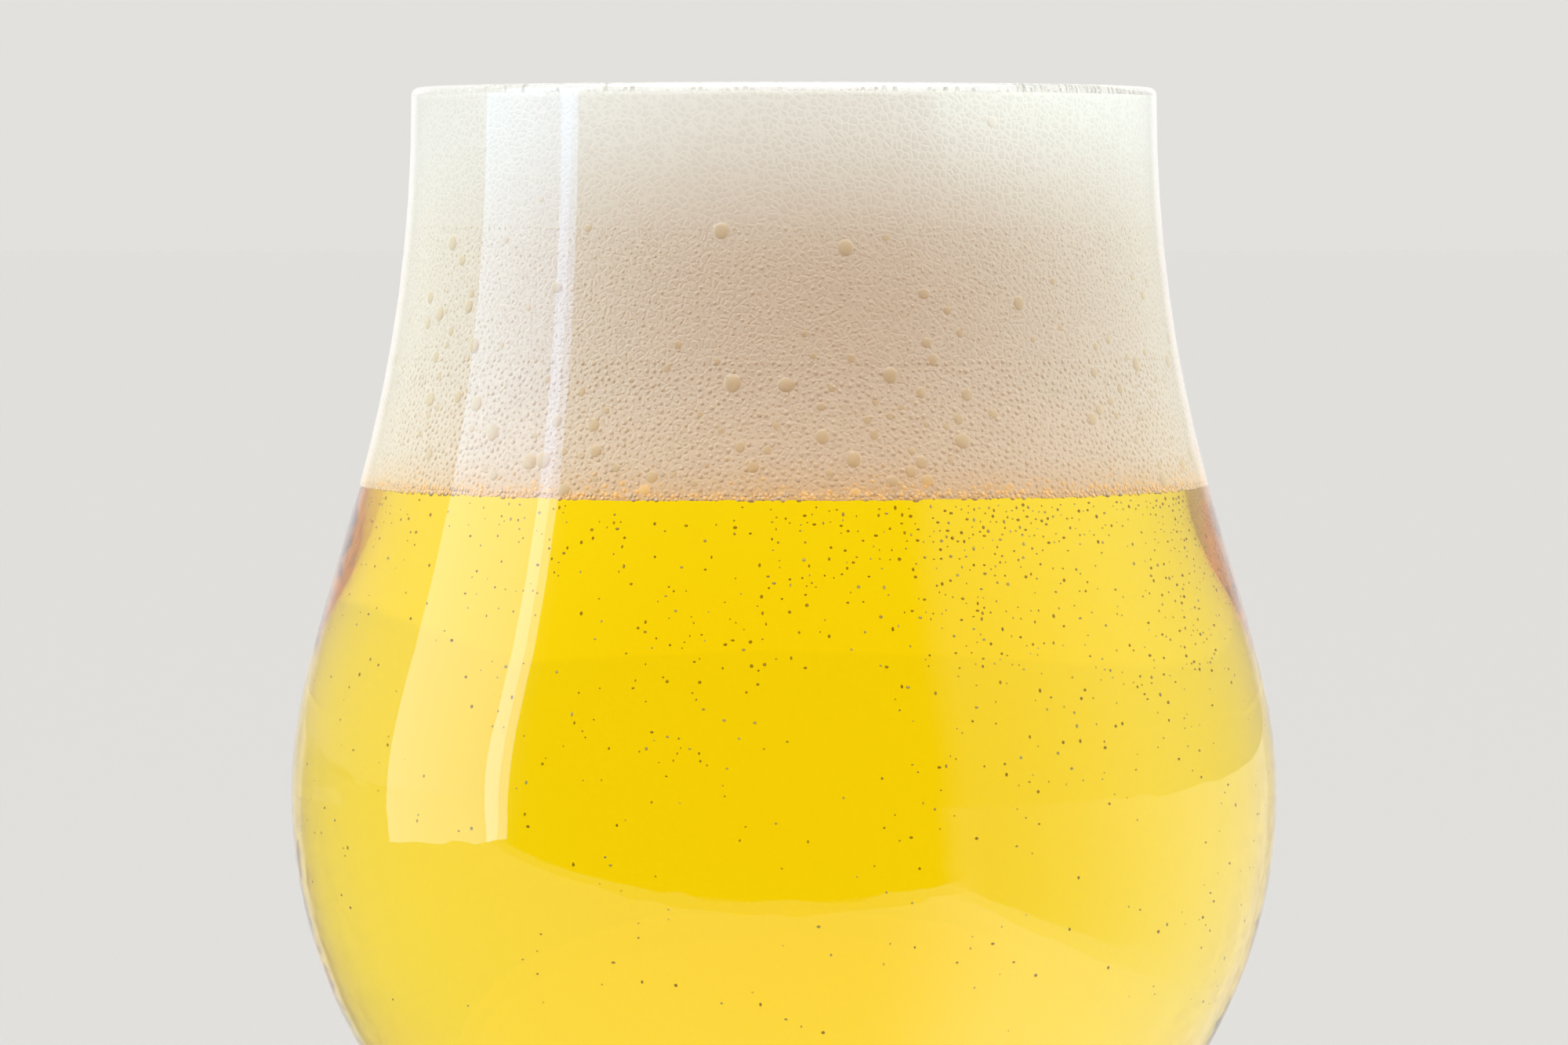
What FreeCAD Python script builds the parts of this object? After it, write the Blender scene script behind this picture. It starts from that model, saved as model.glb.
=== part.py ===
import FreeCAD, Part
import os

# Stemmed tulip glass, filled to its brim with a pint of pale beer under a tall head of foam.
# Millimetres, +Z up.  The origin is the middle of the foot's flat underside, so the glass stands
# on z = 0 and every piece is turned about the Z axis.
# Pieces: the glass (foot, stem and bowl are one blown piece), the beer and the foam.

# Foot
FOOT_RADIUS = 39.0
FOOT_EDGE = 2.4  # thickness of the foot at its rounded rim
FOOT_SLOPE = 3.0  # rise of the foot's top from its rim to where the stem sweeps up

# Stem
STEM_RADIUS = 6.8  # at the waist, its thinnest place
WAIST_HEIGHT = 25.0  # height of the waist above the table
STEM_JOIN_RADIUS = 14.0  # where the stem's upper sweep leaves the round of the bowl
STEM_SWEEP = 9.0  # how long the stem's upper end stays along the bowl before it turns down
FOOT_SWEEP = 14.0  # how long the stem's lower end stays upright before it turns outwards

# Bowl, outside
BOWL_HEIGHT = 51.0  # height of the bowl's round underside above the table
BOWL_ROUND = 50.0  # from that underside up to the belly
BELLY_RADIUS = 48.8  # the widest place
BELLY_DEPTH = 69.5  # of the belly below the rim
BELLY_PULL = 17.6  # how far the wall stays upright above the belly
MOUTH_RADIUS = 36.8
MOUTH_PULL = 36.1  # how far the wall stays upright below the mouth

# Glass thickness
WALL = 1.6
BOWL_FLOOR = 4.0  # at the middle of the bowl, over the stem

# Contents
BEER_DROP = 39.4  # beer level below the rim
FOAM_EDGE_DROP = 0.9  # foam below the rim where it meets the wall
FOAM_CROWN_DROP = 0.5  # foam below the rim at the middle of its dome
FOAM_FLAT_RADIUS = 24.0  # how far the dome runs level before it turns down

# Pull that turns a cubic curve into a quarter of a circle or an ellipse
QUARTER_PULL = 0.5523

BELLY_HEIGHT = BOWL_HEIGHT + BOWL_ROUND
RIM_HEIGHT = BELLY_HEIGHT + BELLY_DEPTH
LIP_HEIGHT = RIM_HEIGHT - WALL / 2  # where the half-round lip starts
BEER_HEIGHT = RIM_HEIGHT - BEER_DROP
FLOOR_HEIGHT = BOWL_HEIGHT + BOWL_FLOOR


def point(radius, height):
    """A point of the profile, which lies in the XZ plane."""
    return FreeCAD.Vector(radius, 0, height)


def curve(start, start_pull, end_pull, end):
    """A cubic curve from start to end, pulled towards the two points between."""
    cubic = Part.BezierCurve()
    cubic.setPoles([start, start_pull, end_pull, end])
    return cubic


def side(mouth_radius, belly_radius):
    """The bowl's wall, from the lip down to the belly."""
    return curve(
        point(mouth_radius, LIP_HEIGHT),
        point(mouth_radius, LIP_HEIGHT - MOUTH_PULL),
        point(belly_radius, BELLY_HEIGHT + BELLY_PULL),
        point(belly_radius, BELLY_HEIGHT),
    )


def round_bottom(belly_radius, bottom_height):
    """The bowl's rounded lower half, from the belly down to the axis."""
    drop = BELLY_HEIGHT - bottom_height
    return curve(
        point(belly_radius, BELLY_HEIGHT),
        point(belly_radius, BELLY_HEIGHT - QUARTER_PULL * drop),
        point(QUARTER_PULL * belly_radius, bottom_height),
        point(0, bottom_height),
    )


def parameter_at_radius(falling, radius):
    """The parameter at which a curve whose radius only falls comes down to the given radius."""
    low = falling.FirstParameter
    high = falling.LastParameter
    for _ in range(50):
        middle = (low + high) / 2
        if falling.value(middle).x > radius:
            low = middle
        else:
            high = middle
    return low


def stem_and_foot(join, direction):
    """The edges from the bowl's underside down the stem and round the foot to the axis."""
    waist = point(STEM_RADIUS, WAIST_HEIGHT)
    sweep_up = (join.z - waist.z) / 2
    foot_top = point(FOOT_RADIUS - FOOT_EDGE / 2, FOOT_EDGE)
    foot_end = point(FOOT_RADIUS - FOOT_EDGE / 2, 0)
    upper = curve(
        join,
        join + direction * STEM_SWEEP,
        waist + point(0, sweep_up),
        waist,
    )
    lower = curve(
        waist,
        waist - point(0, FOOT_SWEEP),
        point(STEM_RADIUS + FOOT_SWEEP, FOOT_EDGE + FOOT_SLOPE),
        foot_top,
    )
    edge = Part.Arc(foot_top, point(FOOT_RADIUS, FOOT_EDGE / 2), foot_end)
    underside = Part.LineSegment(foot_end, point(0, 0))
    return [upper.toShape(), lower.toShape(), edge.toShape(), underside.toShape()]


def turned(profile):
    """The solid made by turning a flat profile about the Z axis."""
    whole = profile.revolve(FreeCAD.Vector(0, 0, 0), FreeCAD.Vector(0, 0, 1), 360)
    return whole.Solids[0]


def make_glass():
    """Foot, stem and bowl in one piece, hollow, with a half-round lip."""
    outer_side = side(MOUTH_RADIUS, BELLY_RADIUS)
    outer_bottom = round_bottom(BELLY_RADIUS, BOWL_HEIGHT)
    join_at = parameter_at_radius(outer_bottom, STEM_JOIN_RADIUS)
    join = outer_bottom.value(join_at)
    direction = FreeCAD.Vector(*outer_bottom.tangent(join_at)[0])
    inner_mouth = MOUTH_RADIUS - WALL
    lip = Part.Arc(
        point(inner_mouth, LIP_HEIGHT),
        point(MOUTH_RADIUS - WALL / 2, RIM_HEIGHT),
        point(MOUTH_RADIUS, LIP_HEIGHT),
    )
    edges = [lip.toShape(), outer_side.toShape(), outer_bottom.toShape(0, join_at)]
    edges += stem_and_foot(join, direction)
    edges += [Part.LineSegment(point(0, 0), point(0, FLOOR_HEIGHT)).toShape()]
    edges += inner_wall()
    return turned(Part.Face(Part.Wire(edges)))


def inner_wall():
    """The two edges of the bowl's inside, which the contents fill."""
    inner_belly = BELLY_RADIUS - WALL
    inner_bottom = round_bottom(inner_belly, FLOOR_HEIGHT)
    inner_side = side(MOUTH_RADIUS - WALL, inner_belly)
    return [inner_bottom.toShape(), inner_side.toShape()]


def hollow_profile():
    """The flat profile of everything inside the bowl, up to the plane of the rim."""
    inner_mouth = MOUTH_RADIUS - WALL
    corners = [
        point(inner_mouth, LIP_HEIGHT),
        point(inner_mouth, RIM_HEIGHT),
        point(0, RIM_HEIGHT),
        point(0, FLOOR_HEIGHT),
    ]
    return Part.Face(Part.Wire(inner_wall() + Part.makePolygon(corners).Edges))


def beer_profile():
    """A flat profile that reaches past the wall and ends at the beer's level top."""
    corners = [
        point(0, BOWL_HEIGHT),
        point(BELLY_RADIUS, BOWL_HEIGHT),
        point(BELLY_RADIUS, BEER_HEIGHT),
        point(0, BEER_HEIGHT),
        point(0, BOWL_HEIGHT),
    ]
    return Part.Face(Part.makePolygon(corners))


def foam_profile():
    """A flat profile that reaches past the wall, from the beer's top to the foam's dome."""
    crown = point(0, RIM_HEIGHT - FOAM_CROWN_DROP)
    edge = point(MOUTH_RADIUS - WALL, RIM_HEIGHT - FOAM_EDGE_DROP)
    past_wall = point(BELLY_RADIUS, RIM_HEIGHT - FOAM_EDGE_DROP)
    dome = curve(
        crown,
        crown + point(FOAM_FLAT_RADIUS, 0),
        edge + point(0, FOAM_EDGE_DROP - FOAM_CROWN_DROP),
        edge,
    )
    corners = [edge, past_wall, point(BELLY_RADIUS, BEER_HEIGHT), point(0, BEER_HEIGHT), crown]
    return Part.Face(Part.Wire([dome.toShape()] + Part.makePolygon(corners).Edges))


def fill(profile):
    """What fills the bowl within a profile, face to face with the glass."""
    return turned(hollow_profile().common(profile).Faces[0])


def report(name, shape):
    """One line on a piece: its volume and its lowest and highest points."""
    box = shape.BoundBox
    millilitres = shape.Volume / 1000
    print(f"{name}: {millilitres:.1f} ml, z {box.ZMin:.2f} to {box.ZMax:.2f}, valid {shape.isValid()}")


def main():
    os.makedirs("parts", exist_ok=True)
    pieces = {
        "glass": make_glass(),
        "beer": fill(beer_profile()),
        "foam": fill(foam_profile()),
    }
    for name, shape in pieces.items():
        shape.exportStep(f"parts/{name}.step")
        report(name, shape)
    report("brim capacity", turned(hollow_profile()))


main()
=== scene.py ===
# %% [markdown]
# # A pint of beer
# A stemmed tulip glass holds clear golden beer under a tall head of fine foam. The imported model
# gives the glass and the true places of the beer and the foam. This file gives every surface its
# look: clear glass, a liquid that takes blue out of the light, and froth made of packed bubbles.

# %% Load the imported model
import math

import bpy
import numpy as np
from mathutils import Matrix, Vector, noise


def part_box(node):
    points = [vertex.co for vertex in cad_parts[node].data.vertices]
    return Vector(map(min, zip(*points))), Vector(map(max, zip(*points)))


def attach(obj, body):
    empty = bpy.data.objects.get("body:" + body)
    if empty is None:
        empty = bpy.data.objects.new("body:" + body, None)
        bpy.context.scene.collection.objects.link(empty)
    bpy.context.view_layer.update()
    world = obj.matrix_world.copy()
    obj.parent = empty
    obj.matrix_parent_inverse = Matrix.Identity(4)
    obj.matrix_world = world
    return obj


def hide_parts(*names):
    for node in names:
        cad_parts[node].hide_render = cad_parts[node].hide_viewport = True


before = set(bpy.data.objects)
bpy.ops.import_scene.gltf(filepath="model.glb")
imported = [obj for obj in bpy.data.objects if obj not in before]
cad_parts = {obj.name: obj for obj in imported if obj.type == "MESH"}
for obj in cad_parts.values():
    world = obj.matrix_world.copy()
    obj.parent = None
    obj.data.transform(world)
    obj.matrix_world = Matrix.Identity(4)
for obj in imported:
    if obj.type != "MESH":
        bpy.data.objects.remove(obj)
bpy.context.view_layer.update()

# %% [markdown]
# Every place comes from the model's own boxes. The wall's side is one smooth curve from the lip to
# the belly, then a quarter of an ellipse down to the bowl's floor, so the same few sizes that shape
# the glass shape what fills it.

# %% Sizes of the bowl's inside
MM = 0.001
WALL = 1.6 * MM
BELLY_HEIGHT = 101.0 * MM
BELLY_PULL = 17.6 * MM
MOUTH_RADIUS = 36.8 * MM
MOUTH_PULL = 36.1 * MM
QUARTER_PULL = 0.5523
FOAM_EDGE_DROP = 0.9 * MM
FOAM_FLAT_RADIUS = 24 * MM  # how far the dome runs level before it turns down
RIM_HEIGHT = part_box("glass")[1].z
BELLY_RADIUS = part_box("glass")[1].x
FLOOR_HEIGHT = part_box("beer")[0].z
BEER_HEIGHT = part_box("beer")[1].z
CROWN_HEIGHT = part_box("foam")[1].z
FOAM_EDGE_HEIGHT = RIM_HEIGHT - FOAM_EDGE_DROP
LIP_HEIGHT = RIM_HEIGHT - WALL / 2


def cubic(points, steps):
    """Points along a cubic curve from the first point to the last, pulled to the two between."""
    ends = np.array(points)
    t = np.linspace(0, 1, steps)[:, None]
    weights = np.hstack([(1 - t) ** 3, 3 * (1 - t) ** 2 * t, 3 * (1 - t) * t**2, t**3])
    return weights @ ends


def wall_profile(inset, side_steps=160, bottom_steps=90):
    """(radius, height) down the bowl's side and round its bottom, inset from the outside."""
    mouth = MOUTH_RADIUS - inset
    belly = BELLY_RADIUS - inset
    drop = BELLY_HEIGHT - FLOOR_HEIGHT
    side = cubic(
        [
            (mouth, LIP_HEIGHT),
            (mouth, LIP_HEIGHT - MOUTH_PULL),
            (belly, BELLY_HEIGHT + BELLY_PULL),
            (belly, BELLY_HEIGHT),
        ],
        side_steps,
    )
    bottom = cubic(
        [
            (belly, BELLY_HEIGHT),
            (belly, BELLY_HEIGHT - QUARTER_PULL * drop),
            (QUARTER_PULL * belly, FLOOR_HEIGHT),
            (0, FLOOR_HEIGHT),
        ],
        bottom_steps,
    )
    return np.vstack([side, bottom[1:]])


INNER = wall_profile(WALL)


def inner_radius(height):
    """The bowl's inside radius at a height."""
    return float(np.interp(height, INNER[::-1, 1], INNER[::-1, 0]))


foam_points = np.array([v.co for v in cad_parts["foam"].data.vertices])
foam_radii = np.hypot(foam_points[:, 0], foam_points[:, 1])
on_wall = foam_points[:, 2] < FOAM_EDGE_HEIGHT - 2 * MM
outermost = max(r - inner_radius(z) for r, z in zip(foam_radii[on_wall], foam_points[on_wall, 2]))
print(f"profile against the model's foam: {outermost / MM:.3f} mm off at most")

# %% [markdown]
# Round pieces are lathed: a profile is turned about the Z axis with rings close enough that the
# curve looks smooth even through a lens of beer. A pole on the axis is one point, so the mesh is
# closed, and the winding is chosen so that every face looks outwards.

# %% Lathe
def lathe(name, profile, segments, shift=None):
    """A smooth closed mesh of a profile that starts and ends on the axis, top first."""
    rings = [(r, z) for r, z in profile if r > 0]
    angles = np.arange(segments) * (2 * math.pi / segments)
    points = [(0.0, 0.0, float(profile[0][1]))]
    for r, z in rings:
        points += [(float(r * math.cos(a)), float(r * math.sin(a)), float(z)) for a in angles]
    points.append((0.0, 0.0, float(profile[-1][1])))
    last = len(points) - 1
    faces = []
    for s in range(segments):
        n = (s + 1) % segments
        faces.append((0, 1 + s, 1 + n))
        for ring in range(len(rings) - 1):
            a = 1 + ring * segments
            b = a + segments
            faces.append((a + s, b + s, b + n, a + n))
        bottom = 1 + (len(rings) - 1) * segments
        faces.append((bottom + s, last, bottom + n))
    if shift:
        points = [shift(Vector(p)) for p in points]
    mesh = bpy.data.meshes.new(name)
    mesh.from_pydata(points, [], faces)
    mesh.polygons.foreach_set("use_smooth", [True] * len(faces))
    mesh.update()
    piece = bpy.data.objects.new(name, mesh)
    bpy.context.scene.collection.objects.link(piece)
    print(f"{name}: {sum(len(f) - 2 for f in faces)} triangles")
    return piece


# %% [markdown]
# Materials are node trees. A small class wraps a node's output, so that a mask or a pattern is
# written as a sum or a product, and one method adds any node: its type, its settings, then what
# feeds its sockets. The same method builds the geometry trees later on.

# %% Node expressions
class Wire:
    """One output of a node; arithmetic on it adds Math nodes."""

    def __init__(self, graph, node, output=None):
        self.graph = graph
        self.node = node
        self.socket = output or next(o for o in node.outputs if o.enabled)

    def out(self, name):
        socket = next(o for o in self.node.outputs if o.enabled and o.name == name)
        return Wire(self.graph, self.node, socket)

    def math(self, operation, *others):
        return self.graph.add("ShaderNodeMath", {"operation": operation}, self, *others)

    def __add__(self, other):
        return self.math("ADD", other)

    def __sub__(self, other):
        return self.math("SUBTRACT", other)

    def __rsub__(self, other):
        return self.graph.add("ShaderNodeMath", {"operation": "SUBTRACT"}, other, self)

    def __mul__(self, other):
        return self.math("MULTIPLY", other)

    def __truediv__(self, other):
        return self.math("DIVIDE", other)

    def __pow__(self, other):
        return self.math("POWER", other)

    __radd__ = __add__
    __rmul__ = __mul__

    def largest(self, other):
        return self.math("MAXIMUM", other)

    def smooth(self, low, high):
        """0 below low, 1 above high and a soft step between; low may be the larger."""
        start, end, flip = (low, high, False) if low < high else (high, low, True)
        step = self.graph.add(
            "ShaderNodeMapRange", {"interpolation_type": "SMOOTHSTEP"}, self, start, end, 0.0, 1.0
        )
        return 1 - step if flip else step


class Graph:
    """A node tree, with one way of adding any node."""

    def __init__(self, tree):
        self.tree = tree

    def feed(self, socket, value):
        if isinstance(value, Wire):
            self.tree.links.new(value.socket, socket)
        elif value is not None:
            socket.default_value = value

    def add(self, kind, settings=None, *values, **named):
        node = self.tree.nodes.new(kind)
        for key, value in (settings or {}).items():
            if key == "stops":
                ramp = node.color_ramp
                while len(ramp.elements) < len(value):
                    ramp.elements.new(0.5)
                for element, (position, colour) in zip(ramp.elements, value):
                    element.position = position
                    element.color = (*colour, 1)
            else:
                setattr(node, key, value)
        for socket, value in zip([i for i in node.inputs if i.enabled], values):
            self.feed(socket, value)
        for key, value in named.items():
            label = key.replace("_", " ")
            self.feed(next(i for i in node.inputs if i.enabled and i.name == label), value)
        has_output = any(o.enabled for o in node.outputs)
        return Wire(self, node) if has_output else node

    def mix(self, factor, first, second):
        """A colour between two colours."""
        return self.add("ShaderNodeMix", {"data_type": "RGBA"}, factor, first, second)


def rgb(red, green, blue):
    return (red, green, blue, 1.0)


def material(name):
    """An empty material, as its graph."""
    made = bpy.data.materials.new(name)
    made.use_nodes = True
    made.node_tree.nodes.clear()
    graph = Graph(made.node_tree)
    graph.material = made
    return graph


def finish_material(graph, surface, volume=None):
    graph.add("ShaderNodeOutputMaterial", None, Surface=surface, Volume=volume)
    return graph.material


# %% [markdown]
# The glass is clear soda-lime glass, so it is one shader with the real index of 1.5. Lamps can't
# shine through a bending surface onto the foam behind it without a great deal of noise. So for
# shadow rays, and for light that the foam scatters, the wall lets light straight through, while
# what the eye sees still bends and shines.

# %% Glass
def clear_glass():
    g = material("clear_glass")
    body = g.add(
        "ShaderNodeBsdfPrincipled",
        None,
        Base_Color=rgb(0.995, 1.0, 0.998),
        Roughness=0.0,
        IOR=1.5,
        Transmission_Weight=1.0,
    )
    path = g.add("ShaderNodeLightPath")
    straight = path.out("Is Shadow Ray").largest(path.out("Is Diffuse Ray"))
    through = g.add("ShaderNodeBsdfTransparent", None, Color=rgb(0.97, 0.98, 0.975))
    return finish_material(g, g.add("ShaderNodeMixShader", None, straight, body, through))


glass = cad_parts["glass"]
glass.data.materials.clear()
glass.data.materials.append(clear_glass())

# %% [markdown]
# The beer is a clear liquid that takes blue out of white light, a little green and almost no red,
# more so the deeper it is. That is absorption in its volume, which also leaves the thin edges
# paler, as no surface colour could. Its side reaches a little into the glass wall so that no air
# shows between them.

# %% Beer
INTO_WALL = 0.2 * MM
BEER_ABSORBS = (0.3, 4.2, 66.0)  # of red, green and blue, per metre


def golden_beer():
    g = material("golden_beer")
    surface = g.add(
        "ShaderNodeBsdfPrincipled",
        None,
        Base_Color=rgb(1, 1, 1),
        Roughness=0.0,
        IOR=1.333,
        Transmission_Weight=1.0,
    )
    density = max(BEER_ABSORBS) * 1.05
    tint = [1 - a / density for a in BEER_ABSORBS]
    volume = g.add("ShaderNodeVolumeAbsorption", None, Color=rgb(*tint), Density=density)
    return finish_material(g, surface, volume)


def beer_profile():
    side = wall_profile(WALL - INTO_WALL)
    below = side[side[:, 1] < BEER_HEIGHT]
    top_radius = inner_radius(BEER_HEIGHT) + INTO_WALL
    return [(0, BEER_HEIGHT), (top_radius * 0.5, BEER_HEIGHT), (top_radius, BEER_HEIGHT)] + below.tolist()


beer = lathe("beer_body", beer_profile(), 256)
beer.data.materials.append(golden_beer())

# %% [markdown]
# The foam's body is froth seen from a distance: white at the top, creamier below, and tinted by the beer
# just above it. Part of this is painted light: the whiter top stands in for light from above that passes
# through the froth, and the peach just above the beer for light that comes up through the beer. Where it
# faces down onto the beer it has a painted orange underside and a painted glow. It is lathed a little into
# the wall, its dome has soft swells, and its lower edge is uneven, because the lowest bubbles hang at
# different depths in the beer. The bubbles themselves are real shapes laid over it afterwards.

# %% Foam body
FOAM_INTO_WALL = 0.25 * MM  # deeper than the beer, so that its lower edge lies before the beer's
FOAM_INTO_BEER = 0.12 * MM
SWELL = 0.30 * MM
CORNER = 0.01 * MM  # a ring this close to a corner keeps the corner crisp in smooth shading

# Tints by height, partly the froth's own colour and partly painted light: whiter at the top for light from
# above, peach at the bottom for light through the beer.
FOAM_TINT_AND_PAINTED_LIGHT = [
    (0.00, (0.97, 0.70, 0.36)),
    (0.03, (0.97, 0.79, 0.55)),
    (0.09, (0.96, 0.86, 0.70)),
    (0.25, (0.94, 0.88, 0.76)),
    (0.60, (0.95, 0.91, 0.81)),
    (0.85, (0.95, 0.95, 0.91)),
    (1.00, (0.96, 0.96, 0.94)),
]
FILM = (0.45, 0.33, 0.18)  # the deeper tint of which each cell's middle takes a tenth
FILM_CELLS = 1500.0  # cells of the finest froth per metre
UNDERSIDE_PAINTED_LIGHT = (0.96, 0.40, 0.10)  # painted light: orange where the foam faces down onto the beer, for light that reaches it through the beer
UNDERSIDE_PAINTED_GLOW = (0.24, 0.07, 0.0)  # painted glow: emission for the light caught in the beer, which the foam gives back
BUMP_DEPTH = 0.12 * MM


def foam_body_material():
    g = material("foam_body")
    place = g.add("ShaderNodeTexCoord").out("Object")
    height = g.add("ShaderNodeSeparateXYZ", None, place).out("Z")
    wave = g.add("ShaderNodeTexNoise", None, Vector=place, Scale=160.0, Detail=2.0)
    tone = (height - BEER_HEIGHT) / (RIM_HEIGHT - BEER_HEIGHT) + (wave - 0.5) * 0.05
    cells = g.add("ShaderNodeTexVoronoi", {"feature": "DISTANCE_TO_EDGE"}, Vector=place, Scale=FILM_CELLS)
    film = cells.smooth(0.0, 0.25)
    tint = g.add("ShaderNodeValToRGB", {"stops": FOAM_TINT_AND_PAINTED_LIGHT}, tone)
    dark = g.mix(0.10, tint, rgb(*FILM))
    colour = g.mix(film, tint, dark)
    # Painted light: where the foam faces down onto the beer it is painted orange and given a painted glow,
    # for light that reaches it through the beer.
    faces_down = g.add("ShaderNodeSeparateXYZ", None, g.add("ShaderNodeTexCoord").out("Normal")).out("Z")
    under = faces_down.smooth(-0.5, -0.8)
    colour = g.mix(under, colour, rgb(*UNDERSIDE_PAINTED_LIGHT))
    glow = g.mix(under, rgb(0, 0, 0), rgb(*UNDERSIDE_PAINTED_GLOW))
    bump = g.add("ShaderNodeBump", None, Strength=0.3, Distance=BUMP_DEPTH, Height=film)
    surface = g.add(
        "ShaderNodeBsdfPrincipled",
        None,
        Base_Color=colour,
        Roughness=0.55,
        Emission_Color=glow,
        Emission_Strength=1.0,
        Normal=bump,
    )
    return finish_material(g, surface)


def beer_line(angle):
    """How far the foam's lowest bubbles hang above or below its mean edge, round the glass."""
    way = Vector((math.cos(angle), math.sin(angle), 0.0))
    return (noise.noise(way * 4) * 0.9 + noise.noise(way * 19) * 0.5) * 0.22 * MM


def foam_profile():
    """From the crown out over the dome, down the wall and back to the axis under the foam."""
    edge_radius = inner_radius(FOAM_EDGE_HEIGHT)
    dome = cubic(
        [
            (0, CROWN_HEIGHT),
            (FOAM_FLAT_RADIUS, CROWN_HEIGHT),
            (edge_radius, CROWN_HEIGHT),
            (edge_radius + FOAM_INTO_WALL, FOAM_EDGE_HEIGHT),
        ],
        70,
    )
    base = BEER_HEIGHT - FOAM_INTO_BEER
    heights = np.linspace(FOAM_EDGE_HEIGHT, base + CORNER, 100)[1:].tolist() + [base]
    side = [(inner_radius(z) + FOAM_INTO_WALL, z) for z in heights]
    radius = side[-1][0]
    under = [(radius - CORNER, base)] + [(radius * share, base) for share in (0.66, 0.33, 0)]
    return dome.tolist() + side + under


def uneven(point):
    """Soft swells of the dome, which die away at the wall, and an uneven lower edge."""
    if point.z > FOAM_EDGE_HEIGHT:
        reach = 1 - math.hypot(point.x, point.y) / inner_radius(FOAM_EDGE_HEIGHT)
        lift = noise.noise(point * 90) * 0.7 + noise.noise(point * 260) * 0.3
        point.z += (lift - 0.4) * SWELL * min(1.0, max(0.0, reach * 6))
    fade = max(0.0, 1 - (point.z - BEER_HEIGHT + FOAM_INTO_BEER) / (1.5 * MM))
    point.z += beer_line(math.atan2(point.y, point.x)) * fade
    return point


foam = lathe("foam_body", foam_profile(), 256, uneven)
foam.data.materials.append(foam_body_material())

# %% [markdown]
# Bubbles in froth are too many to place by hand and too alike to model one by one, so a geometry
# tree scatters them: points spread over a band of surface with a least spacing, a small rounded
# shape on each point, turned to face outwards, and all of it realized into one mesh. Two
# attributes ride along for the finish: "rim" runs from 0 in a bubble's middle to 1 at its edge,
# and "tone" runs from 0 at the bottom of the foam to 1 at the rim, with a little chance in it.

# %% The bubble tree
TONE_CHANCE = 0.08


def bubble_tree():
    """A geometry tree that turns a surface into the bubbles scattered over it."""
    tree = bpy.data.node_groups.new("scattered_bubbles", "GeometryNodeTree")
    inputs = [
        ("Surface", "NodeSocketGeometry"),
        ("Spacing", "NodeSocketFloat"),
        ("Density", "NodeSocketFloat"),
        ("Smallest", "NodeSocketFloat"),
        ("Largest", "NodeSocketFloat"),
        ("Rarity", "NodeSocketFloat"),
        ("Depth", "NodeSocketFloat"),
        ("Sides", "NodeSocketInt"),
        ("Rings", "NodeSocketInt"),
        ("Unevenness", "NodeSocketFloat"),
        ("Seed", "NodeSocketInt"),
        ("Finish", "NodeSocketMaterial"),
    ]
    for name, kind in inputs:
        tree.interface.new_socket(name, in_out="INPUT", socket_type=kind)
    tree.interface.new_socket("Bubbles", in_out="OUTPUT", socket_type="NodeSocketGeometry")

    g = Graph(tree)
    given = g.add("NodeGroupInput")

    def random(low, high, step):
        seed = given.out("Seed") + step
        return g.add("FunctionNodeRandomValue", {"data_type": "FLOAT"}, low, high, Seed=seed)

    def named(attribute):
        return g.add("GeometryNodeInputNamedAttribute", {"data_type": "FLOAT"}, attribute)

    def store(geometry, attribute, value, domain="POINT", data_type="FLOAT"):
        return g.add(
            "GeometryNodeStoreNamedAttribute",
            {"data_type": data_type, "domain": domain},
            Geometry=geometry,
            Name=attribute,
            Value=value,
        )

    points = g.add(
        "GeometryNodeDistributePointsOnFaces",
        {"distribute_method": "POISSON"},
        Mesh=given.out("Surface"),
        Distance_Min=given.out("Spacing"),
        Density_Max=given.out("Density"),
        Density_Factor=named("crowd"),
        Seed=given.out("Seed"),
    )
    chance = random(0.0, 1.0, 1)
    size = given.out("Smallest") + (given.out("Largest") - given.out("Smallest")) * (
        chance ** given.out("Rarity")
    )

    shape = g.add("GeometryNodeMeshUVSphere", None, given.out("Sides"), given.out("Rings"), 1.0)
    place = g.add("ShaderNodeSeparateXYZ", None, g.add("GeometryNodeInputPosition"))
    across = (place.out("X") ** 2 + place.out("Y") ** 2) ** 0.5
    shape = store(shape.out("Mesh"), "rim", across)
    stretch = random(-1.0, 1.0, 2)
    wide = size * (1 + stretch * given.out("Unevenness"))
    tall = size * (1 - stretch * given.out("Unevenness"))
    scale = g.add("ShaderNodeCombineXYZ", None, wide, tall, size * given.out("Depth"))
    bubbles = g.add(
        "GeometryNodeInstanceOnPoints",
        None,
        Points=points.out("Points"),
        Instance=shape,
        Rotation=points.out("Rotation"),
        Scale=scale,
    )
    bubbles = store(bubbles, "chance", random(-0.5, 0.5, 3), domain="INSTANCE")
    whole = g.add("GeometryNodeRealizeInstances", None, bubbles)
    height = g.add("ShaderNodeSeparateXYZ", None, g.add("GeometryNodeInputPosition")).out("Z")
    tone = (height - BEER_HEIGHT) / (RIM_HEIGHT - BEER_HEIGHT) + named("chance") * TONE_CHANCE
    whole = store(whole, "tone", tone)
    both = g.add("ShaderNodeCombineXYZ", None, named("rim"), named("tone"), 0.0)
    whole = store(whole, "OFBake", both, domain="CORNER", data_type="FLOAT2")
    whole = g.add("GeometryNodeSetShadeSmooth", None, Geometry=whole, Shade_Smooth=True)
    whole = g.add("GeometryNodeSetMaterial", None, Geometry=whole, Material=given.out("Finish"))
    g.add("NodeGroupOutput", None, whole)
    return tree


BUBBLES = bubble_tree()


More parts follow.
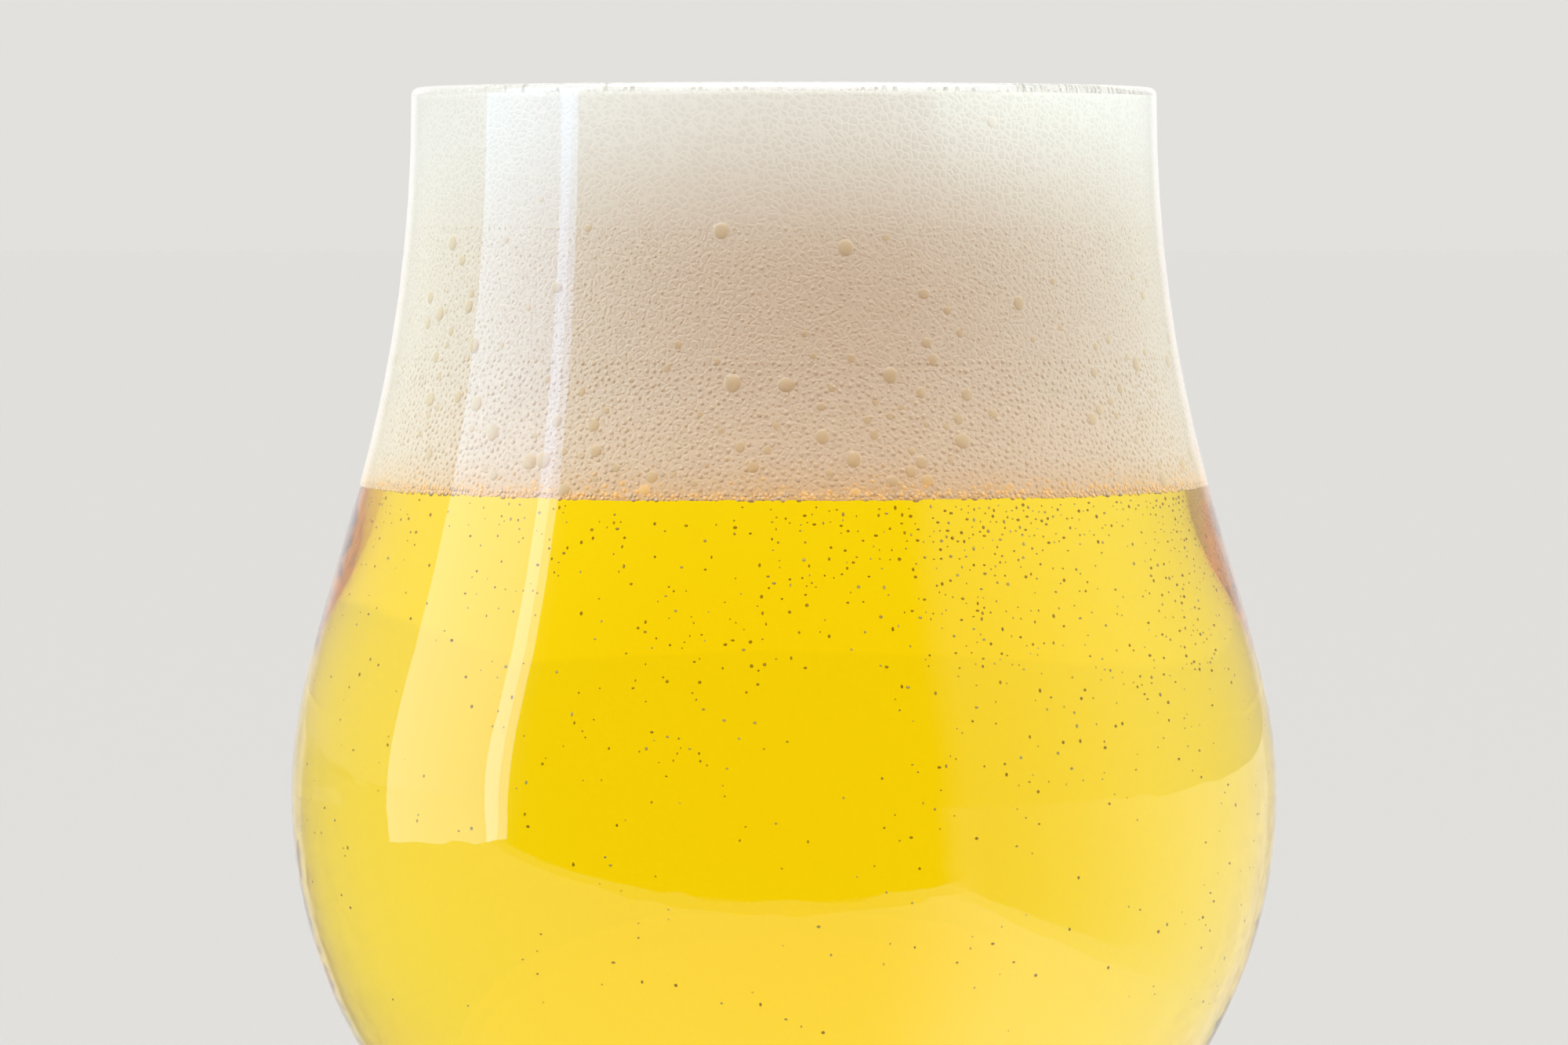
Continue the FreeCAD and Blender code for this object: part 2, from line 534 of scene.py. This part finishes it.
def scatter(name, surface, finish, **inputs):
    """Bubbles over a surface, as one plain mesh that takes the surface's place."""
    modifier = surface.modifiers.new("bubbles", "NODES")
    modifier.node_group = BUBBLES
    named = {item.name: item.identifier for item in BUBBLES.interface.items_tree if item.in_out == "INPUT"}
    for key, value in {**inputs, "Finish": finish}.items():
        modifier[named[key]] = value
    graph = bpy.context.evaluated_depsgraph_get()
    mesh = bpy.data.meshes.new_from_object(surface.evaluated_get(graph))
    surface.modifiers.remove(modifier)
    bpy.data.objects.remove(surface)
    piece = bpy.data.objects.new(name, mesh)
    mesh.name = name
    bpy.context.scene.collection.objects.link(piece)
    mesh.calc_loop_triangles()
    print(f"{name}: {len(mesh.loop_triangles)} triangles")
    return piece


def band(profile, crowd, segments=256):
    """A ring of open surface from a (radius, height) profile, with how crowded each place is."""
    angles = np.arange(segments) * (2 * math.pi / segments)
    points = [(r * math.cos(a), r * math.sin(a), z) for r, z in profile for a in angles]
    faces = []
    for ring in range(len(profile) - 1):
        for s in range(segments):
            n = (s + 1) % segments
            a = ring * segments
            faces.append((a + s, a + segments + s, a + segments + n, a + n))
    mesh = bpy.data.meshes.new("band")
    mesh.from_pydata(points, [], faces)
    layer = mesh.attributes.new("crowd", "FLOAT", "POINT")
    layer.data.foreach_set("value", [crowd(Vector(p)) for p in points])
    surface = bpy.data.objects.new("band", mesh)
    bpy.context.scene.collection.objects.link(surface)
    return surface


def side_band(low, high, crowd, inset=0.0, rows=60):
    """A ring of the foam's or the beer's side between two heights."""
    return band([(inner_radius(z) - inset, z) for z in np.linspace(high, low, rows)], crowd)


# %% [markdown]
# Against the glass the froth is packed beads, each a little darker in the middle, where the wall
# shows into the bubble, with a light rim where its film meets its neighbours'. They are only a
# dozen faces each, because there are thousands of them.

# %% Fine beads of foam
LINE_PAINTED_GLOW = (0.22, 0.11, 0.01)  # painted glow of the beads on the beer line: emission for the light from the beer that fills them


def bubble_material(name, centre, contrast, disc, roughness=0.45):
    """Froth's tint at each height, partly painted light, darker within the disc and a little lighter at
    the rim, with a painted glow at the beer line.
    """
    g = material(name)
    rim = g.add("ShaderNodeAttribute", {"attribute_name": "rim"}).out("Fac")
    tone = g.add("ShaderNodeAttribute", {"attribute_name": "tone"}).out("Fac")
    tint = g.add("ShaderNodeValToRGB", {"stops": FOAM_TINT_AND_PAINTED_LIGHT}, tone)
    fade = 1 - tone.smooth(0.55, 0.95) * 0.85
    dark = g.mix(contrast * fade, tint, rgb(*centre))
    light = g.mix(0.3, tint, rgb(1.0, 0.98, 0.94))
    colour = g.mix(rim.smooth(*disc), dark, light)
    # Painted glow near the bottom of the foam, for light from the beer.
    glow = g.mix(tone.smooth(0.03, -0.01), rgb(0, 0, 0), rgb(*LINE_PAINTED_GLOW))
    surface = g.add(
        "ShaderNodeBsdfPrincipled",
        None,
        Base_Color=colour,
        Roughness=roughness,
        Emission_Color=glow,
        Emission_Strength=1.0,
    )
    return finish_material(g, surface)


def everywhere(point):
    """As crowded as the least spacing allows."""
    return 1.0


bead_finish = bubble_material("foam_beads", (0.66, 0.49, 0.26), 0.28, (0.50, 0.90), 0.28)
levels = np.linspace(BEER_HEIGHT, FOAM_EDGE_HEIGHT, 4)
froth = []
for part, spacing, radius, depth in (
    (0, 0.60, 0.42, 0.42),
    (1, 0.56, 0.39, 0.36),
    (2, 0.50, 0.34, 0.22),
):
    froth.append(
        scatter(
            f"foam_beads_{part + 1}",
            side_band(levels[part], levels[part + 1], everywhere, inset=-0.17 * MM),
            bead_finish,
            Spacing=spacing * MM,
            Density=1.5e7,
            Smallest=radius * 0.85 * MM,
            Largest=radius * 1.15 * MM,
            Rarity=1.8,
            Depth=depth,
            Sides=6,
            Rings=2,
            Unevenness=0.08,
            Seed=11 + part,
        )
    )

# %% [markdown]
# Here and there a few bubbles have run together into a bigger one. The wall flattens them, so they
# are wide, shallow domes with a tan middle, where the eye looks into the froth, and a thin bright
# edge. They sit in the lower three quarters of the head, where the foam has had longest to coarsen.

# %% Bigger bubbles on the wall
def coarse_crowd(point):
    """Patchy, and rarer with height."""
    share = (point.z - BEER_HEIGHT) / (RIM_HEIGHT - BEER_HEIGHT)
    patch = max(0.0, min(1.0, 0.45 + 1.3 * noise.noise(point * 48)))
    return patch * max(0.02, 1 - share / 0.75) ** 1.3


coarse_finish = bubble_material("foam_bubbles", (0.78, 0.63, 0.33), 0.55, (0.75, 0.98), 0.3)
froth.append(
    scatter(
        "foam_bubbles",
        side_band(BEER_HEIGHT + 0.5 * MM, FOAM_EDGE_HEIGHT - 2 * MM, coarse_crowd, inset=-0.20 * MM),
        coarse_finish,
        Spacing=1.3 * MM,
        Density=3.2e5,
        Smallest=0.40 * MM,
        Largest=0.95 * MM,
        Rarity=2.2,
        Depth=0.22,
        Sides=10,
        Rings=6,
        Unevenness=0.08,
        Seed=21,
    )
)

# %% [markdown]
# Where the foam meets the beer the beads are small and hang into it, so the line is ragged. The light that
# reaches them has come through beer, so their peach and orange is painted light, with a painted glow.

# %% Beads on the beer line
def beer_line_band():
    """A narrow ring along the uneven lower edge of the foam."""
    surface = side_band(BEER_HEIGHT - 0.08 * MM, BEER_HEIGHT + 0.45 * MM, everywhere, -0.25 * MM, 6)
    for vertex in surface.data.vertices:
        vertex.co.z += beer_line(math.atan2(vertex.co.y, vertex.co.x))
    return surface


# Painted light: orange middles for the light that comes through the beer.
line_finish = bubble_material("line_beads", (0.88, 0.50, 0.14), 0.30, (0.2, 0.9))
froth.append(
    scatter(
        "line_beads",
        beer_line_band(),
        line_finish,
        Spacing=0.36 * MM,
        Density=3e7,
        Smallest=0.15 * MM,
        Largest=0.30 * MM,
        Rarity=1.2,
        Depth=0.5,
        Sides=6,
        Rings=2,
        Unevenness=0.15,
        Seed=31,
    )
)

# %% [markdown]
# The top of the head is open froth: a fine white pile with looser, larger bubbles lying on it,
# most of them out towards the glass, where foam drains and thins first.

# %% Bubbles on the dome
def dome_band():
    """The dome's own surface, from near the axis out to just short of the wall."""
    edge = inner_radius(FOAM_EDGE_HEIGHT)
    dome = [p for p in foam_profile() if p[1] >= FOAM_EDGE_HEIGHT]
    profile = [p for p in dome if 0.4 * MM < p[0] < edge - 1.0 * MM]
    surface = band(profile, lambda p: 0.25 + 0.75 * (math.hypot(p.x, p.y) / edge) ** 3)
    for vertex in surface.data.vertices:
        vertex.co = uneven(vertex.co.copy())
    return surface


for name, spacing, density, small, large, rarity, depth, sides, rings, seed in (
    ("dome_beads", 0.75, 1e7, 0.30, 0.52, 1.6, 0.55, 6, 2, 41),
    ("dome_bubbles", 1.6, 1.2e5, 0.45, 1.5, 3.0, 0.42, 12, 6, 42),
):
    froth.append(
        scatter(
            name,
            dome_band(),
            bead_finish,
            Spacing=spacing * MM,
            Density=density,
            Smallest=small * MM,
            Largest=large * MM,
            Rarity=rarity,
            Depth=depth,
            Sides=sides,
            Rings=rings,
            Unevenness=0.06,
            Seed=seed,
        )
    )

# %% [markdown]
# In the beer, tiny bubbles cling to the inside of the glass just under the foam, and a few more
# are on their way up. Against so much bright yellow they read as small olive and amber specks. The
# back has none, because the full bowl is a lens that would show them many times too large.

# %% Specks in the beer
def speck_material():
    """From amber to pale yellow, one colour to a bubble."""
    g = material("beer_specks")
    tone = g.add("ShaderNodeAttribute", {"attribute_name": "chance"}).out("Fac")
    colour = g.mix((tone + 0.5).smooth(0.55, 0.95), rgb(0.72, 0.44, 0.02), rgb(0.98, 0.88, 0.35))
    surface = g.add("ShaderNodeBsdfPrincipled", None, Base_Color=colour, Roughness=0.2)
    return finish_material(g, surface)


def speck_crowd(point):
    """Crowded just under the foam, in patches, and more so to the right."""
    depth = (BEER_HEIGHT - point.z) / MM
    side = 0.75 + 0.45 * point.x / inner_radius(point.z)
    patch = 0.55 + 0.9 * noise.noise(point * 70)
    back = 0.0 if point.y > 0 else 1.0
    return max(0.0, min(1.0, (math.exp(-depth / 11) + 0.04) * side * patch * back))


specks = scatter(
    "beer_specks",
    side_band(BEER_HEIGHT - 50 * MM, BEER_HEIGHT - 0.8 * MM, speck_crowd, inset=0.1 * MM),
    speck_material(),
    Spacing=0.55 * MM,
    Density=1.0e7,
    Smallest=0.08 * MM,
    Largest=0.19 * MM,
    Rarity=1.6,
    Depth=0.9,
    Sides=6,
    Rings=4,
    Unevenness=0.25,
    Seed=51,
)

# %% [markdown]
# The camera stands level with the top of the head, a little below the rim, and looks slightly
# down. A long lens keeps the glass's sides nearly parallel.

# %% Camera
CAMERA_DISTANCE = 0.8146
CAMERA_DROP = 13.0 * MM  # below the rim
LOOKS_DOWN = math.radians(2.108)

lens = bpy.data.cameras.new("camera")
lens.lens = 189
lens.sensor_width = 36
camera = bpy.data.objects.new("camera", lens)
camera.location = (0, -CAMERA_DISTANCE, RIM_HEIGHT - CAMERA_DROP)
camera.rotation_euler = (math.pi / 2 - LOOKS_DOWN, 0, 0)
bpy.context.scene.collection.objects.link(camera)
bpy.context.scene.camera = camera

# %% [markdown]
# The studio is a pale room. In an evenly white room clear glass and foam would look flat, so the
# side towards the camera is dimmer and warmer: the foam is shaded from its bright sides to a tan
# middle, and the front of the beer reflects little. What is seen through the beer stays bright all
# round, and the plain backdrop is a shade darker, so that the pale rim stands out. A Light Path node
# tells the rays apart: those from the camera, those that passed through the glass, those that a
# surface mirrored, and those that the foam scattered. Names in SHINE are for what the glass mirrors
# on its outside, and names in MIRRORED for what the beer mirrors on its inside.

# %% Studio
BACKDROP = (0.768, 0.752, 0.722)
FLOOR = (0.70, 0.685, 0.68)
BEHIND = (1.12, 1.09, 1.08)  # what the beer is seen against
BEHIND_GLASS = (0.86, 0.84, 0.80)  # what bare glass is seen against
LIGHT_SIDES = (2.45, 2.68, 2.60)  # what lights the foam, from each side
LIGHT_BACK = (1.7, 1.8, 1.9)
LIGHT_FRONT = (0.79, 0.25, 0.0)
LIGHT_TURN = 8  # degrees to the right of the camera, where the front is dimmest
LIGHT_CEILING = (0.35, 0.35, 0.35)
SHINE_NEAR = (0.20, 0.20, 0.20)
SHINE_SIDES = (0.30, 0.30, 0.32)
SHINE_REAR = (0.60, 0.58, 0.55)
SHINE_BACK = (0.98, 0.94, 0.94)
SHINE_FRONT = (0.10, 0.03, 0.0)
MIRRORED_NEAR = (0.30, 0.30, 0.30)  # what the beer mirrors inside, beside the dark front
MIRRORED_FLOOR = (0.56, 0.54, 0.50)
MIRRORED_FLOOR_RIGHT = (1.10, 1.10, 1.15)
DARK_REFLECTION_DISTANCE = 0.260  # how far in front the floor turns dark where the beer mirrors it: a painted dark reflection
PALE_REFLECTION_DISTANCE = 0.20  # how far to the right a paler painted reflection begins beside it, where the beer mirrors the floor
FOOT_CLEAR = 0.045  # how far the floor under the foot stays pale


def degrees_step(angle, low, high):
    """A soft step of an angle, given in degrees."""
    return angle.smooth(math.radians(low), math.radians(high))


def dark_front(turn):
    """1 in the sector in front of the glass that gives no reflection."""
    return degrees_step(turn, -78, -62) * degrees_step(turn, 46, 34)


def seen_behind(g, path):
    """The bright surroundings, plainer where a ray has passed through nothing but glass."""
    filled = path.out("Transmission Depth").math("GREATER_THAN", 2.5)
    return g.mix(filled, rgb(*BEHIND_GLASS), rgb(*BEHIND))


def studio_world():
    """Surroundings that depend on the direction and on what kind of ray looks."""
    world = bpy.data.worlds.new("studio")
    world.use_nodes = True
    world.node_tree.nodes.clear()
    g = Graph(world.node_tree)
    way = g.add("ShaderNodeSeparateXYZ", None, g.add("ShaderNodeTexCoord").out("Generated"))
    turn = way.out("X").math("ARCTAN2", 0 - way.out("Y"))  # from the front, to the right
    aside = turn.math("ABSOLUTE")
    path = g.add("ShaderNodeLightPath")

    # what lights the foam
    light = g.mix(degrees_step(aside, 105, 150), rgb(*LIGHT_SIDES), rgb(*LIGHT_BACK))
    off_lobe = (turn - math.radians(LIGHT_TURN)).math("ABSOLUTE")
    light = g.mix(degrees_step(off_lobe, 62, 25), light, rgb(*LIGHT_FRONT))
    light = g.mix(way.out("Z").smooth(0.55, 0.85), light, rgb(*LIGHT_CEILING))

    # what the glass mirrors on its outside
    shine = g.mix(degrees_step(aside, 40, 100), rgb(*SHINE_NEAR), rgb(*SHINE_SIDES))
    shine = g.mix(degrees_step(aside, 112, 145), shine, rgb(*SHINE_REAR))
    shine = g.mix(degrees_step(aside, 153, 163), shine, rgb(*SHINE_BACK))
    dim = dark_front(turn)
    shine = g.mix(dim, shine, rgb(*SHINE_FRONT))

    # what the beer mirrors on its inside, and what is seen through it
    mirrored = path.out("Glossy Depth").math("GREATER_THAN", 0.5)
    inside = g.mix(degrees_step(aside, 40, 120), rgb(*MIRRORED_NEAR), rgb(*BEHIND))
    inside = g.mix(dim, inside, rgb(*SHINE_FRONT))
    behind = g.mix(mirrored, seen_behind(g, path), inside)

    colour = g.mix(path.out("Is Glossy Ray"), light, shine)
    colour = g.mix(path.out("Is Transmission Ray"), colour, behind)
    colour = g.mix(path.out("Is Camera Ray"), colour, rgb(*BACKDROP))
    sky = g.add("ShaderNodeBackground", None, Color=colour, Strength=1.0)
    g.add("ShaderNodeOutputWorld", None, Surface=sky)
    return world


bpy.context.scene.world = studio_world()
bpy.context.scene.view_settings.view_transform = "Standard"
for kind, most in (("max", 32), ("transmission", 32), ("glossy", 16), ("transparent_max", 24)):
    setattr(bpy.context.scene.cycles, f"{kind}_bounces", most)


def place(thing, name, location, rotation, **seen_by):
    """An object that only some kinds of ray see."""
    holder = bpy.data.objects.new(name, thing)
    holder.location = location
    holder.rotation_euler = rotation
    for kind, visible in seen_by.items():
        setattr(holder, f"visible_{kind}", visible)
    bpy.context.scene.collection.objects.link(holder)
    return holder


def softbox(name, centre, size, radiance):
    """An upright rectangular daylight lamp to the left of the glass, which shows as a reflection."""
    lamp = bpy.data.lights.new(name, "AREA")
    lamp.shape = "RECTANGLE"
    lamp.size = size[0]
    lamp.size_y = size[1]
    lamp.energy = radiance * math.pi * size[0] * size[1]
    lamp.color = (0.42, 0.63, 1.0)
    turned = (math.pi / 2, 0, -math.pi / 2)
    return place(lamp, name, centre, turned, camera=False, transmission=False, diffuse=False)


softbox("softbox", (-0.57, -0.07, 0.32), (0.36, 0.60), 2.75)
softbox("softbox_edge", (-0.56, -0.24, 0.32), (0.07, 0.60), 4.2)


TOP_LIGHT_SIZE = 0.9


def top_light():
    """A lamp over the glass that draws a bright line along the lip."""
    lamp = bpy.data.lights.new("top_light", "AREA")
    lamp.shape = "RECTANGLE"
    lamp.size = TOP_LIGHT_SIZE
    lamp.size_y = TOP_LIGHT_SIZE
    lamp.energy = 3.0 * math.pi * TOP_LIGHT_SIZE**2
    return place(lamp, "top_light", (0, -0.15, 0.75), (0, 0, 0), camera=False, diffuse=False)


top_light()


def barn_door_lamp(name, location, energy, colour, fade_in, fade_out=None):
    """A lamp in front that lights a band of the head, given as heights where it fades in or out."""
    lamp = bpy.data.lights.new(name, "POINT")
    lamp.energy = energy
    lamp.color = colour
    lamp.shadow_soft_size = 0.01
    lamp.use_nodes = True
    lamp.node_tree.nodes.clear()
    g = Graph(lamp.node_tree)
    way = g.add("ShaderNodeSeparateXYZ", None, g.add("ShaderNodeTexCoord").out("Normal")).out("Z")

    def rise(height):
        return math.sin(math.atan2(height - location[2], -location[1] - MOUTH_RADIUS))

    strength = way.smooth(*(rise(height) for height in fade_in))
    if fade_out:
        strength = strength * way.smooth(*(rise(height) for height in reversed(fade_out)))
    g.add("ShaderNodeOutputLight", None, Surface=g.add("ShaderNodeEmission", None, Strength=strength))
    return place(lamp, name, location, (0, 0, 0), camera=False, transmission=False, glossy=False)


barn_door_lamp(
    "head_lamp",
    (0.16, -0.55, 0.150),
    8.5,
    (0.70, 0.95, 1.0),
    (RIM_HEIGHT - 16 * MM, RIM_HEIGHT + 2 * MM),
)
barn_door_lamp(
    "line_lamp",
    (0, -0.55, 0.07),
    1.9,
    (1.0, 0.88, 0.65),
    (BEER_HEIGHT - 2.0 * MM, BEER_HEIGHT - 1.0 * MM),
    (BEER_HEIGHT + 1.0 * MM, BEER_HEIGHT + 8.0 * MM),
)


def flat_mesh(name, low, high):
    """A level rectangle at height 0."""
    mesh = bpy.data.meshes.new(name)
    corners = [(low[0], low[1], 0), (high[0], low[1], 0), (high[0], high[1], 0), (low[0], high[1], 0)]
    mesh.from_pydata(corners, [], [(0, 1, 2, 3)])
    return mesh


def pale_floor():
    """A matt pale floor, dark towards the camera for the light and the mirror images it gives."""
    floor = place(flat_mesh("floor", (-40, -40), (40, 40)), "floor", (0, 0, 0), (0, 0, 0))
    g = material("floor")
    matt = g.add("ShaderNodeBsdfPrincipled", None, Base_Color=rgb(*FLOOR), Roughness=0.9)
    # Painted light: to rays other than the camera's the floor gives emitted colours in place of its own:
    # painted shade in front for the light it scatters, painted reflections where the beer mirrors it, and
    # bright surroundings where it is seen through the beer.
    dim = g.add("ShaderNodeEmission", None, Color=rgb(*SHINE_FRONT))
    spot = g.add("ShaderNodeSeparateXYZ", None, g.add("ShaderNodeTexCoord").out("Object"))
    x, y = spot.out("X"), spot.out("Y")
    turn = x.math("ARCTAN2", 0 - y)
    near = g.mix(degrees_step(turn, 15, 60), rgb(*MIRRORED_FLOOR), rgb(*MIRRORED_FLOOR_RIGHT))
    near = g.add("ShaderNodeEmission", None, Color=near)
    path = g.add("ShaderNodeLightPath")
    bright = g.add("ShaderNodeEmission", None, Color=seen_behind(g, path))
    mirrored = path.out("Glossy Depth").math("GREATER_THAN", 0.5)
    aside = turn.math("ABSOLUTE")
    half = g.mix(degrees_step(aside, 40, 120), rgb(*MIRRORED_NEAR), rgb(*BEHIND))
    half = g.add("ShaderNodeEmission", None, Color=half)
    not_behind = mirrored * degrees_step(aside, 154, 149)
    seen_through = path.out("Is Transmission Ray").largest(mirrored)
    dark = (mirrored * dark_front(turn) * y.math("LESS_THAN", -DARK_REFLECTION_DISTANCE)).largest(
        path.out("Is Diffuse Ray") * y.math("LESS_THAN", -FOOT_CLEAR)
    )
    beside = not_behind * degrees_step(turn, 34, 46) * x.math("GREATER_THAN", PALE_REFLECTION_DISTANCE)
    surface = g.add("ShaderNodeMixShader", None, seen_through, matt, bright)
    surface = g.add("ShaderNodeMixShader", None, not_behind, surface, near)
    surface = g.add("ShaderNodeMixShader", None, beside, surface, half)
    surface = g.add("ShaderNodeMixShader", None, dark, surface, dim)
    floor.data.materials.append(finish_material(g, surface))
    return floor


stage = [pale_floor()]

# %% [markdown]
# Each new piece says which body it rides on, and the imported piece it stands for is hidden. The glass
# keeps its own imported shape.

# %% Hand over
for piece, node, slot in (
    [(beer, "beer", "golden_beer"), (foam, "foam", "cream_foam")]
    + [(piece, "foam", "cream_foam") for piece in froth]
    + [(specks, "beer", "golden_beer")]
):
    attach(piece, "root")
    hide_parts(node)
